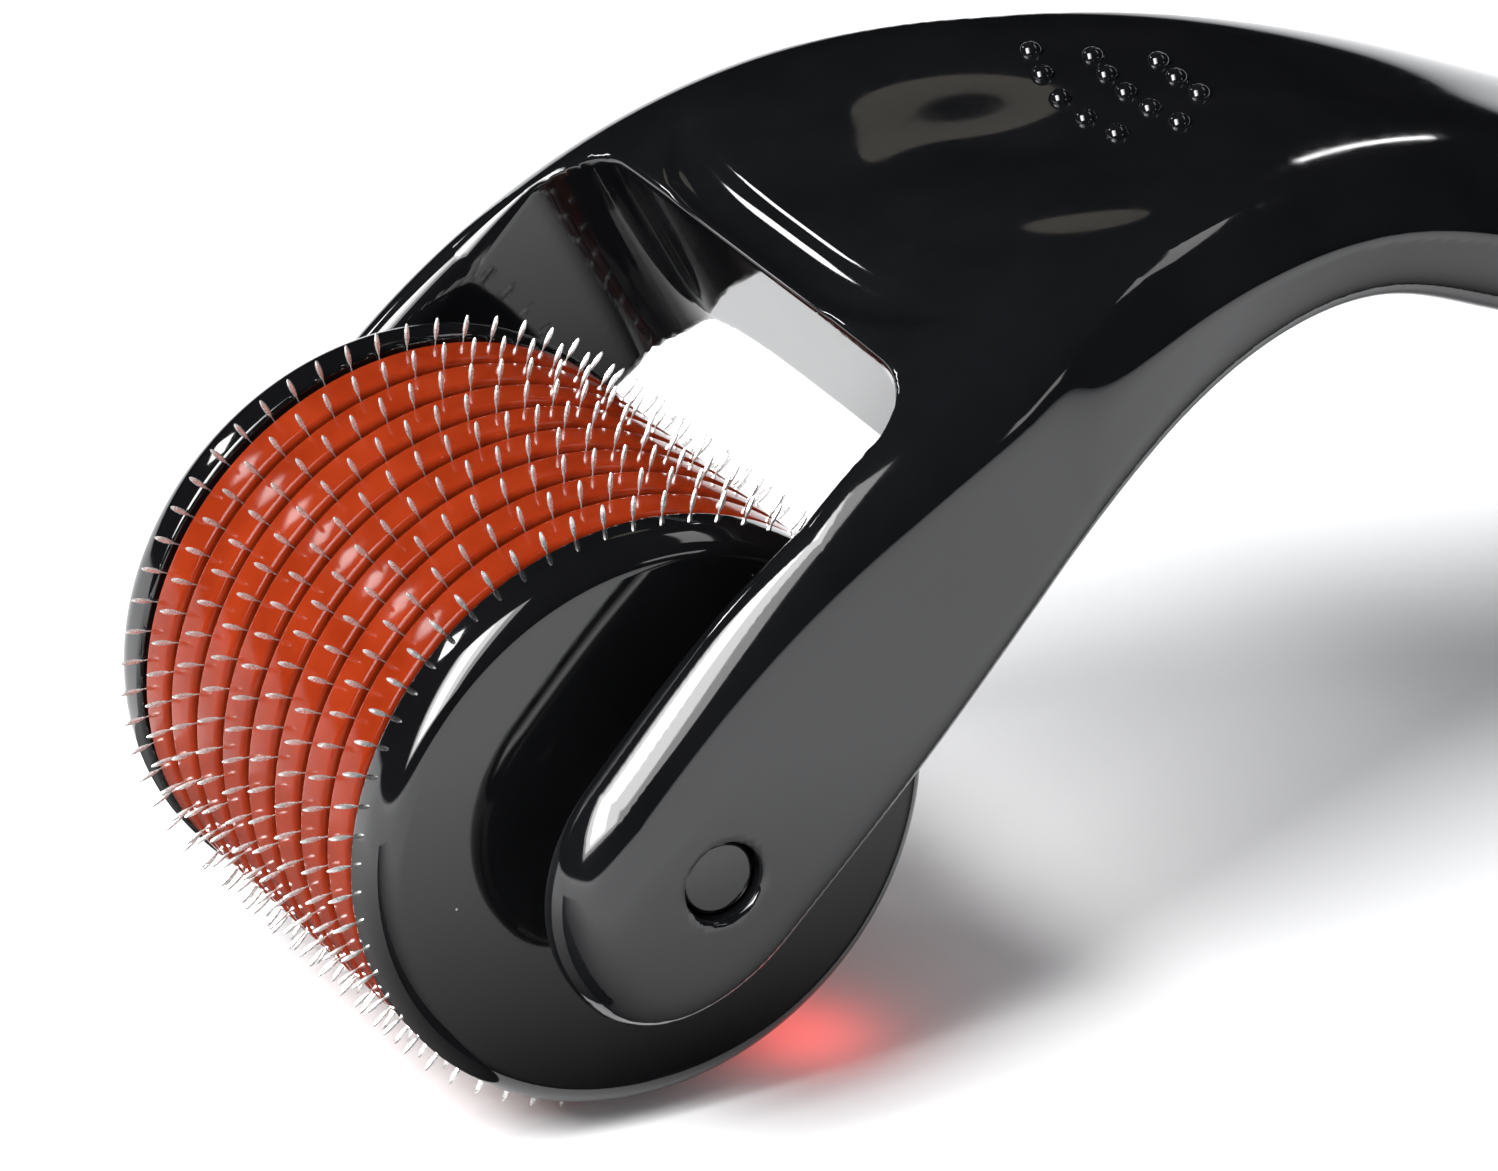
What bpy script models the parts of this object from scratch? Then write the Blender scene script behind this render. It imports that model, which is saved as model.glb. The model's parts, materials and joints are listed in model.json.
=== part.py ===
"""Derma roller: a swan-neck handle whose fork carries a drum of stacked needle discs.

Units are metres, +Z is up.  The handle runs along +X, the drum turns about an axis along Y,
and the whole thing lies on a table at z = 0 on its needle tips and the end of its handle.
"""
import math

import bmesh
import bpy
from mathutils import Matrix, Vector

MM = 0.001

# ---- driving dimensions --------------------------------------------------------------------
OVERALL_LENGTH = 138.0 * MM
TIP_RADIUS = 13.4 * MM          # needle tips, from the drum's axis
CAP_RADIUS = 12.5 * MM          # flanges at both ends of the drum
CAP_FACE_Y = 11.6 * MM          # outer faces of the flanges, either side of the middle
ROW_COUNT = 9
NEEDLES_PER_ROW = 60
ROW_PITCH = 2.27 * MM
NEEDLE_DISC_THICKNESS = 0.2 * MM
STACK_GAP = 0.03 * MM           # air left between neighbours in the stack

FORK_HALF_WIDTH = 17.2 * MM     # outer faces of the fork arms
FORK_INNER_Y = 13.8 * MM        # inner faces of the fork arms
PIN_RADIUS = 1.6 * MM
PIN_CLEARANCE = 0.08 * MM
PIN_END_Y = 16.5 * MM           # the pin stops short of the arm's outer face
HUB_RADIUS = 3.6 * MM
HUB_CLEARANCE = 0.3 * MM        # between the cap's hub and the arm

# ---- derived sizes -------------------------------------------------------------------------
ROOT_RADIUS = CAP_RADIUS - 0.35 * MM
SPACER_RADIUS = CAP_RADIUS - 0.1 * MM
SPACER_THICKNESS = ROW_PITCH - NEEDLE_DISC_THICKNESS - 2.0 * STACK_GAP
SPACER_CHAMFER = 0.3 * MM
CORE_RADIUS = 7.0 * MM
CORE_BORE_RADIUS = 4.6 * MM
FIT_CLEARANCE = 0.1 * MM        # between a bore and what it sits on
BORE_RADIUS = CORE_RADIUS + FIT_CLEARANCE
STACK_HALF = 0.5 * (ROW_COUNT - 1) * ROW_PITCH + 0.5 * NEEDLE_DISC_THICKNESS
DRUM_X = TIP_RADIUS - 0.5 * OVERALL_LENGTH
DRUM_Z = TIP_RADIUS

# The discs are stacked without lining up their teeth: turn of each disc, in degrees.
DISC_TURNS = (0.5, 4.3, 4.2, 4.4, 1.7, 2.9, 1.3, 3.5, 4.5)

# The handle's centre line in side view, in millimetres from the drum's axis, with the
# section on it: (x, z, half width, height above the line, depth below it, squareness of the
# upper half, squareness of the lower half, depth of the hollow along the underside).
HANDLE_STATIONS = (
    (0.0, 0.0, 17.35, 7.80, 5.1, 4.2, 10.0, 0.0),
    (6.9, 7.2, 17.35, 7.50, 5.25, 4.2, 10.0, 1.6),
    (12.5, 12.4, 16.8, 5.90, 5.0, 4.0, 9.0, 2.4),
    (19.5, 16.4, 15.2, 4.10, 4.4, 3.8, 8.0, 1.6),
    (27.5, 17.9, 12.9, 2.90, 3.4, 3.8, 7.0, 0.8),
    (35.0, 17.1, 10.8, 2.95, 3.1, 3.4, 6.0, 0.4),
    (41.5, 14.8, 9.5, 3.50, 3.6, 3.1, 5.0, 0.0),
    (52.0, 10.3, 9.0, 3.60, 3.8, 2.8, 4.0, 0.0),
    (65.0, 5.0, 9.6, 4.40, 4.4, 2.7, 3.2, 0.0),
    (80.0, -0.2, 10.4, 5.30, 5.2, 2.6, 2.8, 0.0),
    (95.0, -4.4, 10.3, 5.60, 5.8, 2.6, 2.6, 0.0),
    (108.0, -6.9, 9.6, 5.30, 6.0, 2.5, 2.5, 0.0),
    (118.3, -8.1, 8.6, 4.80, 5.3, 2.4, 2.4, 0.0),
)
LOBE_RADIUS = 7.7               # round lower end of the fork arms, in millimetres
TAIL_RADIUS = 6.3               # round end of the grip, in millimetres
STATIONS_PER_SPAN = 4
END_STATIONS = 6
END_SWEEP = math.radians(80.0)  # the last ring of a round end is a small flat
SECTION_POINTS = 36
HOLLOW_REACH = 0.76             # the underside's hollow, as a share of the half width

WINDOW_FRONT = (10.38, 17.8)    # top edge of the web that closes the fork, (x, z) in mm
WINDOW_LEAN = math.radians(28.0)
WINDOW_CORNER = 3.3             # in millimetres
WINDOW_CORNER_STEPS = 8
WINDOW_REACH = 30.0             # how far the cutter runs past the fork, in millimetres

SCOOP_CENTRE = (11.15, 19.44)   # middle of the finger scoop behind the web's front edge, mm
SCOOP_RADIUS = 1.8
SCOOP_HALF_LENGTH = 11.1
SCOOP_BOW = 0.00017             # how the ends bend back: x gained, times y to the fourth

DISH_CENTRE = (22.0, 0.0)       # thumb dish, (x, y) in mm
DISH_SIZE = (6.5, 6.0)
DISH_DEPTH = 0.7
DISH_STEEPNESS = 1.6
DOT_RADIUS = 0.5
# Each arc of dots: x on the middle line, y of the first dot, spacing, number of dots.
DOT_ARCS = ((25.9, 5.8, 2.1, 5), (28.45, 4.2, 1.82, 5), (31.05, 2.7, 1.78, 3))
DOT_ARC_BOW = 0.035             # x gained per square millimetre away from the middle
DOT_CROWN = 0.008               # height lost per square millimetre away from the middle

ROUND_STEPS = 40                # flats around the drum's turned pieces
COLLECTION_NAME = "derma_roller"

# ---- small helpers -------------------------------------------------------------------------


def clear_scene():
    for old in list(bpy.data.objects):
        bpy.data.objects.remove(old, do_unlink=True)


def new_collection(name):
    collection = bpy.data.collections.new(name)
    bpy.context.scene.collection.children.link(collection)
    return collection


def make_material(name, colour, roughness, metallic=0.0):
    material = bpy.data.materials.new(name)
    material.use_nodes = True
    shader = material.node_tree.nodes["Principled BSDF"]
    shader.inputs["Base Color"].default_value = (*colour, 1.0)
    shader.inputs["Roughness"].default_value = roughness
    shader.inputs["Metallic"].default_value = metallic
    material.diffuse_color = (*colour, 1.0)
    return material


def add_object(name, mesh, parent, collection, material=None):
    thing = bpy.data.objects.new(name, mesh)
    collection.objects.link(thing)
    thing.parent = parent
    if material is not None:
        mesh.materials.clear()
        mesh.materials.append(material)
    return thing


def as_cutter(thing):
    thing.hide_render = True
    thing.display_type = "WIRE"
    return thing


def cut(target, cutter, operation="DIFFERENCE"):
    boolean = target.modifiers.new(f"{operation.lower()}_{cutter.name}", "BOOLEAN")
    boolean.operation = operation
    boolean.solver = "EXACT"
    boolean.object = cutter
    return boolean


def shade_round(mesh, angle=math.radians(30.0)):
    mesh.shade_smooth()
    mesh.set_sharp_from_angle(angle=angle)


def turned(name, profile, steps, parent, collection, material):
    """A turned piece: (radius, y) points, its outer side running towards +Y, spun about Y."""
    shape = bmesh.new()
    points = [shape.verts.new((radius, y, 0.0)) for radius, y in profile]
    for first, second in zip(points, points[1:]):
        shape.edges.new((first, second))
    mesh = bpy.data.meshes.new(name)
    shape.to_mesh(mesh)
    shape.free()
    thing = add_object(name, mesh, parent, collection, material)
    screw = thing.modifiers.new("turn", "SCREW")
    screw.axis = "Y"
    screw.angle = math.tau
    screw.steps = steps
    screw.render_steps = steps
    screw.use_merge_vertices = True
    screw.merge_threshold = 0.000001
    screw.use_normal_flip = True
    screw.use_smooth_shade = True
    return thing


def flat_outline_mesh(name, outlines, thickness):
    """Mesh of closed outlines in the XY plane, holes included, thickened along Z."""
    curve = bpy.data.curves.new(name, "CURVE")
    curve.dimensions = "2D"
    curve.fill_mode = "BOTH"
    curve.extrude = 0.5 * thickness
    for outline in outlines:
        spline = curve.splines.new("POLY")
        spline.points.add(len(outline) - 1)
        for point, (x, y) in zip(spline.points, outline):
            point.co = (x, y, 0.0, 1.0)
        spline.use_cyclic_u = True
    holder = bpy.data.objects.new(name + "_outline", curve)
    bpy.context.scene.collection.objects.link(holder)
    bpy.context.view_layer.update()
    evaluated = holder.evaluated_get(bpy.context.evaluated_depsgraph_get())
    mesh = bpy.data.meshes.new_from_object(evaluated)
    shape = bmesh.new()
    shape.from_mesh(mesh)
    bmesh.ops.remove_doubles(shape, verts=shape.verts, dist=0.000001)
    shape.to_mesh(mesh)
    shape.free()
    bpy.data.objects.remove(holder, do_unlink=True)
    bpy.data.curves.remove(curve)
    return mesh


def circle(radius, count, turn=0.0):
    angles = [turn + math.tau * step / count for step in range(count)]
    return [(radius * math.cos(angle), radius * math.sin(angle)) for angle in angles]


# ---- the handle ----------------------------------------------------------------------------


def catmull_rom(values, position):
    """Smooth curve through evenly numbered values, at a position counted in values."""
    index = min(int(position), len(values) - 2)
    t = position - index
    before = values[max(index - 1, 0)]
    start = values[index]
    end = values[index + 1]
    after = values[min(index + 2, len(values) - 1)]
    slope_in = 0.5 * (end - before)
    slope_out = 0.5 * (after - start)
    if index == 0:
        slope_in = end - start
    if index == len(values) - 2:
        slope_out = end - start
    return (
        (2 * t**3 - 3 * t**2 + 1) * start
        + (t**3 - 2 * t**2 + t) * slope_in
        + (3 * t**2 - 2 * t**3) * end
        + (t**3 - t**2) * slope_out
    )


def handle_values(position):
    columns = zip(*HANDLE_STATIONS)
    return [catmull_rom(column, position) for column in columns]


def handle_frame(position):
    """Point on the centre line and the directions along and across it, in side view."""
    step = 0.01
    last = len(HANDLE_STATIONS) - 1
    x, z = handle_values(position)[:2]
    x0, z0 = handle_values(max(position - step, 0.0))[:2]
    x1, z1 = handle_values(min(position + step, last))[:2]
    along = Vector((x1 - x0, 0.0, z1 - z0)).normalized()
    return Vector((x, 0.0, z)), along, Vector((-along.z, 0.0, along.x))


def dish_drop(x, y):
    across = (x - DISH_CENTRE[0]) / DISH_SIZE[0]
    sideways = (y - DISH_CENTRE[1]) / DISH_SIZE[1]
    return DISH_DEPTH * math.exp(-DISH_STEEPNESS * (across**2 + sideways**2))


def section_loop(shape, position, end_radius=0.0, end_fraction=0.0):
    """One ring of the handle.  Past an end of the centre line, end_fraction runs from 0 to 1
    and the ring closes: round in side view, and as square as the section in plan."""
    centre, along, across = handle_frame(position)
    half_width, height, depth, upper, lower, hollow = handle_values(position)[2:]
    direction = 1.0 if position > 1.0 else -1.0
    centre = centre + along * (direction * end_radius * end_fraction)
    closing = math.sqrt(1.0 - end_fraction**2)
    half_width = half_width * (1.0 - end_fraction**upper) ** (1.0 / upper)
    ring = []
    for step in range(SECTION_POINTS):
        angle = math.tau * (step + 0.5) / SECTION_POINTS
        cosine = math.cos(angle)
        sine = math.sin(angle)
        power = upper if sine > 0.0 else lower
        reach = height if sine > 0.0 else depth
        swell = (abs(cosine) ** power + abs(sine) ** power) ** (-1.0 / power)
        y = half_width * cosine * swell
        y = max(-FORK_HALF_WIDTH / MM, min(FORK_HALF_WIDTH / MM, y))
        n = reach * closing * sine * swell
        if sine < 0.0:
            n += hollow * max(0.0, 1.0 - (abs(y) / (HOLLOW_REACH * half_width)) ** 3)
        point = centre + across * n + Vector((0.0, y, 0.0))
        if sine > 0.0:
            point = point - across * dish_drop(point.x, y)
        ring.append(shape.verts.new(point * MM))
    return ring


def loft_rings(shape, rings):
    for ring, following in zip(rings, rings[1:]):
        for index in range(SECTION_POINTS):
            after = (index + 1) % SECTION_POINTS
            shape.faces.new((ring[index], following[index], following[after], ring[after]))
    shape.faces.new(rings[0])
    shape.faces.new(list(reversed(rings[-1])))


def handle_body(parent, collection, material):
    shape = bmesh.new()
    last = len(HANDLE_STATIONS) - 1
    fractions = [math.sin(END_SWEEP * (step + 1) / END_STATIONS) for step in range(END_STATIONS)]
    rings = [section_loop(shape, 0.0, LOBE_RADIUS, fraction) for fraction in reversed(fractions)]
    spans = last * STATIONS_PER_SPAN
    rings += [section_loop(shape, step / STATIONS_PER_SPAN) for step in range(spans + 1)]
    rings += [section_loop(shape, float(last), TAIL_RADIUS, fraction) for fraction in fractions]
    loft_rings(shape, rings)
    bmesh.ops.recalc_face_normals(shape, faces=shape.faces)
    mesh = bpy.data.meshes.new("handle")
    shape.to_mesh(mesh)
    shape.free()
    shade_round(mesh, math.radians(40.0))
    return add_object("handle", mesh, parent, collection, material)


def window_cutter(parent, collection):
    """The space that the drum turns in: a block with round corners against the web."""
    half = FORK_INNER_Y / MM
    corner = WINDOW_CORNER
    outline = [(-WINDOW_REACH, -half)]
    for side in (-1.0, 1.0):
        for step in range(WINDOW_CORNER_STEPS + 1):
            angle = 0.5 * math.pi * step / WINDOW_CORNER_STEPS
            if side > 0.0:
                angle = 0.5 * math.pi - angle
            x = -corner + corner * math.sin(angle)
            y = side * (half - corner + corner * math.cos(angle))
            outline.append((x, y))
    outline.append((-WINDOW_REACH, half))
    outline = [(x * MM, y * MM) for x, y in outline]
    mesh = flat_outline_mesh("window_cutter", [outline], 2.0 * WINDOW_REACH * MM)
    cutter = as_cutter(add_object("window_cutter", mesh, parent, collection))
    cutter.location = (WINDOW_FRONT[0] * MM, 0.0, WINDOW_FRONT[1] * MM)
    cutter.rotation_euler = (0.0, -WINDOW_LEAN, 0.0)
    return cutter


def pin_hole_cutter(parent, collection):
    mesh = flat_outline_mesh("pin_hole_cutter", [circle(PIN_RADIUS + PIN_CLEARANCE, 32)], 60.0 * MM)
    cutter = as_cutter(add_object("pin_hole_cutter", mesh, parent, collection))
    cutter.rotation_euler = (math.radians(90.0), 0.0, 0.0)
    return cutter


def scoop_cutter(parent, collection):
    """A long bean with blunt ends: the finger scoop behind the front edge of the web."""
    shape = bmesh.new()
    along_y = Matrix.Rotation(0.5 * math.pi, 4, "X")
    bmesh.ops.create_uvsphere(shape, u_segments=32, v_segments=20, radius=1.0, matrix=along_y)
    for vertex in shape.verts:
        x, y, z = vertex.co
        radius = SCOOP_RADIUS * math.sqrt(1.0 + y * y)
        y *= SCOOP_HALF_LENGTH
        vertex.co = Vector((radius * x + SCOOP_BOW * y**4, y, radius * z)) * MM
    mesh = bpy.data.meshes.new("scoop_cutter")
    shape.to_mesh(mesh)
    shape.free()
    cutter = as_cutter(add_object("scoop_cutter", mesh, parent, collection))
    cutter.location = (SCOOP_CENTRE[0] * MM, 0.0, SCOOP_CENTRE[1] * MM)
    return cutter


def top_height(x):
    """Height of the handle's top on its middle line, in millimetres."""
    best = None
    last = len(HANDLE_STATIONS) - 1
    for step in range(last * 20 + 1):
        position = step / 20
        centre, _, across = handle_frame(position)
        top = centre + across * handle_values(position)[3]
        miss = abs(top.x - x)
        if best is None or miss < best[0]:
            best = (miss, top.z)
    return best[1]


def grip_dots(parent, collection):
    """Raised dots in three arcs behind the thumb dish, as one object of separate balls."""
    shape = bmesh.new()
    for arc_x, first_y, pitch, count in DOT_ARCS:
        for index in range(count):
            y = first_y - index * pitch
            x = arc_x + DOT_ARC_BOW * y * y
            z = top_height(x) - dish_drop(x, y) - DOT_CROWN * y * y
            place = Matrix.Translation(Vector((x, y, z)) * MM)
            bmesh.ops.create_uvsphere(
                shape, u_segments=8, v_segments=6, radius=DOT_RADIUS * MM, matrix=place
            )
    mesh = bpy.data.meshes.new("grip_dots")
    shape.to_mesh(mesh)
    shape.free()
    return as_cutter(add_object("grip_dots", mesh, parent, collection))


def make_handle(parent, parts, cutters, material):
    handle = handle_body(parent, parts, material)
    cut(handle, window_cutter(parent, cutters))
    cut(handle, pin_hole_cutter(parent, cutters))
    cut(handle, scoop_cutter(parent, cutters))
    cut(handle, grip_dots(parent, cutters), "UNION")
    return handle


# ---- the drum ------------------------------------------------------------------------------


def needle_disc_mesh():
    """A thin steel ring with a pointed blade every six degrees."""
    half_base = 0.17 * MM
    outline = []
    for index in range(NEEDLES_PER_ROW):
        angle = math.tau * index / NEEDLES_PER_ROW
        for radius, side in ((ROOT_RADIUS, -half_base), (TIP_RADIUS, 0.0), (ROOT_RADIUS, half_base)):
            turn = angle + side / radius
            outline.append((radius * math.cos(turn), radius * math.sin(turn)))
    bore = circle(BORE_RADIUS, 24)
    return flat_outline_mesh("needle_disc", [outline, bore], NEEDLE_DISC_THICKNESS)


def make_needle_discs(parent, collection, material):
    mesh = needle_disc_mesh()
    for index in range(ROW_COUNT):
        disc = add_object(f"needle_disc_{index + 1}", mesh, parent, collection, material)
        disc.location.y = (0.5 * (ROW_COUNT - 1) - index) * ROW_PITCH
        disc.rotation_euler = (math.radians(90.0), -math.radians(DISC_TURNS[index]), 0.0)


def make_spacer_discs(parent, collection, material):
    half = 0.5 * SPACER_THICKNESS
    edge = SPACER_CHAMFER
    profile = (
        (BORE_RADIUS, -half),
        (SPACER_RADIUS - edge, -half),
        (SPACER_RADIUS, -half + edge),
        (SPACER_RADIUS, half - edge),
        (SPACER_RADIUS - edge, half),
        (BORE_RADIUS, half),
        (BORE_RADIUS, -half),
    )
    for index in range(ROW_COUNT - 1):
        name = f"spacer_disc_{index + 1}"
        disc = turned(name, profile, ROUND_STEPS, parent, collection, material)
        disc.location.y = (0.5 * (ROW_COUNT - 2) - index) * ROW_PITCH


def make_drum_core(parent, collection, material):
    half = STACK_HALF - FIT_CLEARANCE
    profile = (
        (CORE_BORE_RADIUS, -half),
        (CORE_RADIUS, -half),
        (CORE_RADIUS, half),
        (CORE_BORE_RADIUS, half),
        (CORE_BORE_RADIUS, -half),
    )
    return turned("drum_core", profile, 24, parent, collection, material)


def make_end_cap(name, turn, parent, collection, material):
    """Flange with a plug for the core on its inner side, and a hub and pin on its outer side."""
    inner = STACK_HALF + STACK_GAP
    plug_radius = CORE_BORE_RADIUS - FIT_CLEARANCE
    plug_end = inner - 4.0 * MM
    edge = 0.5 * MM
    hub_end = FORK_INNER_Y - HUB_CLEARANCE
    pin_edge = 0.25 * MM
    profile = (
        (0.0, plug_end),
        (plug_radius - 0.4 * MM, plug_end),
        (plug_radius, plug_end + 0.4 * MM),
        (plug_radius, inner),
        (CAP_RADIUS - 0.2 * MM, inner),
        (CAP_RADIUS, inner + 0.2 * MM),
        (CAP_RADIUS, CAP_FACE_Y - edge),
        (CAP_RADIUS - 0.3 * edge, CAP_FACE_Y - 0.3 * edge),
        (CAP_RADIUS - edge, CAP_FACE_Y),
        (HUB_RADIUS, CAP_FACE_Y),
        (HUB_RADIUS, hub_end),
        (PIN_RADIUS, hub_end),
        (PIN_RADIUS, PIN_END_Y - pin_edge),
        (PIN_RADIUS - pin_edge, PIN_END_Y),
        (0.0, PIN_END_Y),
    )
    cap = turned(name, profile, ROUND_STEPS, parent, collection, material)
    cap.rotation_euler = (turn, 0.0, 0.0)
    return cap


def main():
    clear_scene()
    parts = new_collection(COLLECTION_NAME)
    cutters = new_collection("cutters")
    handle_plastic = make_material("handle_plastic", (0.012, 0.013, 0.016), 0.08)
    cap_plastic = make_material("cap_plastic", (0.010, 0.011, 0.013), 0.10)
    core_plastic = make_material("core_plastic", (0.03, 0.03, 0.035), 0.35)
    spacer_plastic = make_material("spacer_plastic", (0.60, 0.045, 0.01), 0.12)
    needle_steel = make_material("needle_steel", (0.80, 0.80, 0.78), 0.22, metallic=1.0)

    drum = bpy.data.objects.new("drum_axis", None)
    parts.objects.link(drum)
    drum.location = (DRUM_X, 0.0, DRUM_Z)

    make_handle(drum, parts, cutters, handle_plastic)
    make_needle_discs(drum, parts, needle_steel)
    make_spacer_discs(drum, parts, spacer_plastic)
    make_drum_core(drum, parts, core_plastic)
    make_end_cap("right_end_cap", 0.0, drum, parts, cap_plastic)
    make_end_cap("left_end_cap", math.pi, drum, parts, cap_plastic)
    bpy.context.view_layer.update()


main()
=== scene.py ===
"""Looks of a derma roller: a black glossy handle with a fork at its end, and between the fork's
arms a drum of red spacer discs and rows of steel needles between two black end caps.

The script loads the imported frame, builds a fine surface for every piece that shows, gives each
one a procedural material, and adds the studio: floor, lights and camera.  Lengths are written in
millimetres from the drum's axis, and meshes are turned into metres where they are made.
"""

import json
import math

import bmesh
import bpy
import numpy as np
from mathutils import Matrix, Vector


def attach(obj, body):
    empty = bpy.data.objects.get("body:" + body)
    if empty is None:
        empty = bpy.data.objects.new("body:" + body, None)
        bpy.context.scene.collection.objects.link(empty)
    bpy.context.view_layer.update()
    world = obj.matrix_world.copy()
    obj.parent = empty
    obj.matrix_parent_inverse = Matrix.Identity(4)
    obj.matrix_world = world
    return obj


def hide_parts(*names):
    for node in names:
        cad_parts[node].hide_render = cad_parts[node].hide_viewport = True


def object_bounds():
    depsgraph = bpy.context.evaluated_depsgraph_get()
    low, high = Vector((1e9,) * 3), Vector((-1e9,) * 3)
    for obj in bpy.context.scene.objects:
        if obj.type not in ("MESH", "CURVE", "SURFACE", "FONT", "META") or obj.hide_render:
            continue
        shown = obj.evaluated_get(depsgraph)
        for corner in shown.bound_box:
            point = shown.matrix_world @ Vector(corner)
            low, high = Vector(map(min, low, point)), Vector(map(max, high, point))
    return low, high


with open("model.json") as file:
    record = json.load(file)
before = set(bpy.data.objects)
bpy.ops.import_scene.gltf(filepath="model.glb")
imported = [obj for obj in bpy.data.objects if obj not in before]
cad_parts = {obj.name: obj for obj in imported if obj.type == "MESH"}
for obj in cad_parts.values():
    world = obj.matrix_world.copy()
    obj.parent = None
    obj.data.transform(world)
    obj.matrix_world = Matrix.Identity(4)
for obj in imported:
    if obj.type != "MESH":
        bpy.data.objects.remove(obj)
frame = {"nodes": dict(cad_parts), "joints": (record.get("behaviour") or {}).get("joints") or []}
cad_low, cad_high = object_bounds()

MM = 0.001

# ---- the frame: where the drum is ------------------------------------------------------------

DRUM_PIVOT = next(j for j in frame["joints"] if j["name"] == "drum_spin")["pos_m"]
DRUM_CENTRE = Vector(DRUM_PIVOT)

# ---- the drum's pieces -----------------------------------------------------------------------

ROW_COUNT = 9
NEEDLES_PER_ROW = 60
ROW_PITCH = 2.27
# Degrees that each row of needles is turned by, from the first row to the last.
DISC_TURNS = (0.5, 4.3, 4.2, 4.4, 1.7, 2.9, 1.3, 3.5, 4.5)
DISC_THICKNESS = 0.2
DISC_RIM = 11.5                 # the steel ring's rim, sunk between the spacers
DISC_STEPS = 120                # facets around the ring
BORE_RADIUS = 7.1
# A needle from root to tip: distance from the drum's axis, and half its width there.
NEEDLE_SECTIONS = (
    (11.4, 0.02),
    (12.4, 0.03),
    (12.55, 0.08),
    (12.8, 0.12),
    (13.1, 0.115),
    (13.32, 0.07),
    (13.39, 0.02),
)
# A needle's section, as shares of its half width and of its half thickness.
NEEDLE_OUTLINE = ((1.0, 0.0), (0.5, 1.0), (-0.5, 1.0), (-1.0, 0.0), (-0.5, -1.0), (0.5, -1.0))
NEEDLE_HALF_THICKNESS = 0.08
NEEDLE_FLATNESS = 0.75          # most that the half thickness may be, as a share of the half width
NEEDLE_SHARP = math.radians(30.0)

SPACER_RADIUS = 12.4
SPACER_THICKNESS = 1.91         # a little less than the solid's, to show the groove's shade
SPACER_EDGE = 0.3               # rounding of a spacer's rim
TURN_STEPS = 160                # facets around a turned piece
TURN_SHARP = math.radians(35.0)  # edges sharper than this stay crisp
WELD_DISTANCE = 0.000001

CAP_RADIUS = 12.5
CAP_INNER_Y = 9.21
CAP_FACE_Y = 11.6
CAP_EDGE = 1.1                  # the round from the rim to the face, measured across the axis
CAP_EDGE_LENGTH = 1.45          # the same round, measured along the axis
CAP_EDGE_STEPS = 14
CAP_INNER_EDGE = 0.25
PLUG_RADIUS = 4.5
PLUG_END_Y = 5.21
HUB_RADIUS = 3.6
HUB_END_Y = 13.5
HUB_FILLET = 0.3                # slope from the flange's face up to the hub
HUB_EDGE = 0.2
PIN_RADIUS = 1.6
PIN_END_Y = 16.5
PIN_EDGE = 0.25

# ---- the handle ------------------------------------------------------------------------------

# Centre line (x, z), half width, height above it, depth below it, squareness of the upper and
# the lower half of the section, and how far the underside is hollowed.
HANDLE_STATIONS = np.array((
    (0.0, 0.0, 17.35, 7.80, 5.1, 4.2, 10.0, 0.0),
    (6.9, 7.2, 17.35, 7.50, 5.25, 4.2, 10.0, 1.6),
    (12.5, 12.4, 16.8, 5.90, 5.0, 4.0, 9.0, 2.4),
    (19.5, 16.4, 15.2, 4.10, 4.4, 3.8, 8.0, 1.6),
    (27.5, 17.9, 12.9, 2.90, 3.4, 3.8, 7.0, 0.8),
    (35.0, 17.1, 10.8, 2.95, 3.1, 3.4, 6.0, 0.4),
    (41.5, 14.8, 9.5, 3.50, 3.6, 3.1, 5.0, 0.0),
    (52.0, 10.3, 9.0, 3.60, 3.8, 2.8, 4.0, 0.0),
    (65.0, 5.0, 9.6, 4.40, 4.4, 2.7, 3.2, 0.0),
    (80.0, -0.2, 10.4, 5.30, 5.2, 2.6, 2.8, 0.0),
    (95.0, -4.4, 10.3, 5.60, 5.8, 2.6, 2.6, 0.0),
    (108.0, -6.9, 9.6, 5.30, 6.0, 2.5, 2.5, 0.0),
    (118.3, -8.1, 8.6, 4.80, 5.3, 2.4, 2.4, 0.0),
))
LOBE_RADIUS = 7.7
TAIL_RADIUS = 6.3
FORK_HALF_WIDTH = 17.2
FORK_INNER_Y = 13.8
HOLLOW_REACH = 0.76             # the underside's hollow, as a share of the half width
WINDOW_FRONT = (10.38, 17.8)    # (x, z) of the web's front, where the arms' gap ends
WINDOW_LEAN = math.radians(28.0)
WINDOW_CORNER = 3.3
PIN_HOLE_RADIUS = 1.68
SCOOP_CENTRE = (11.15, 19.44)
SCOOP_RADIUS = 1.8
SCOOP_HALF_LENGTH = 11.1
SCOOP_BOW = 0.00017             # how the ends bend back: x gained, times y to the fourth
DISH_CENTRE = (22.0, 0.0)
DISH_SIZE = (6.5, 6.0)
DISH_DEPTH = 0.7
DISH_STEEPNESS = 1.6
SIDE_EDGE = 0.9                 # softness of the edges around the arms' outer faces
WINDOW_EDGE = 0.4               # softness of the web's front edges
ARM_EDGE = 2.0                  # softness of the arms' inner edges
ARM_EDGE_SPAN = (3.0, 7.0)      # distances ahead of the web between which one becomes the other
SMALL_EDGE = 0.25               # softness at the pin holes and the scoop
# How far, in degrees, the neck's sides lean in above their crease, by place along the handle.
CREASE_PLACES = (21.0, 28.0, 34.0, 46.0, 75.0, 110.0)
CREASE_LEANS = (0.0, 32.0, 46.0, 46.0, 20.0, 0.0)
CREASE_HEIGHT = 0.4             # the crease's height above the centre line
CREASE_EDGE = 0.25
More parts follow.
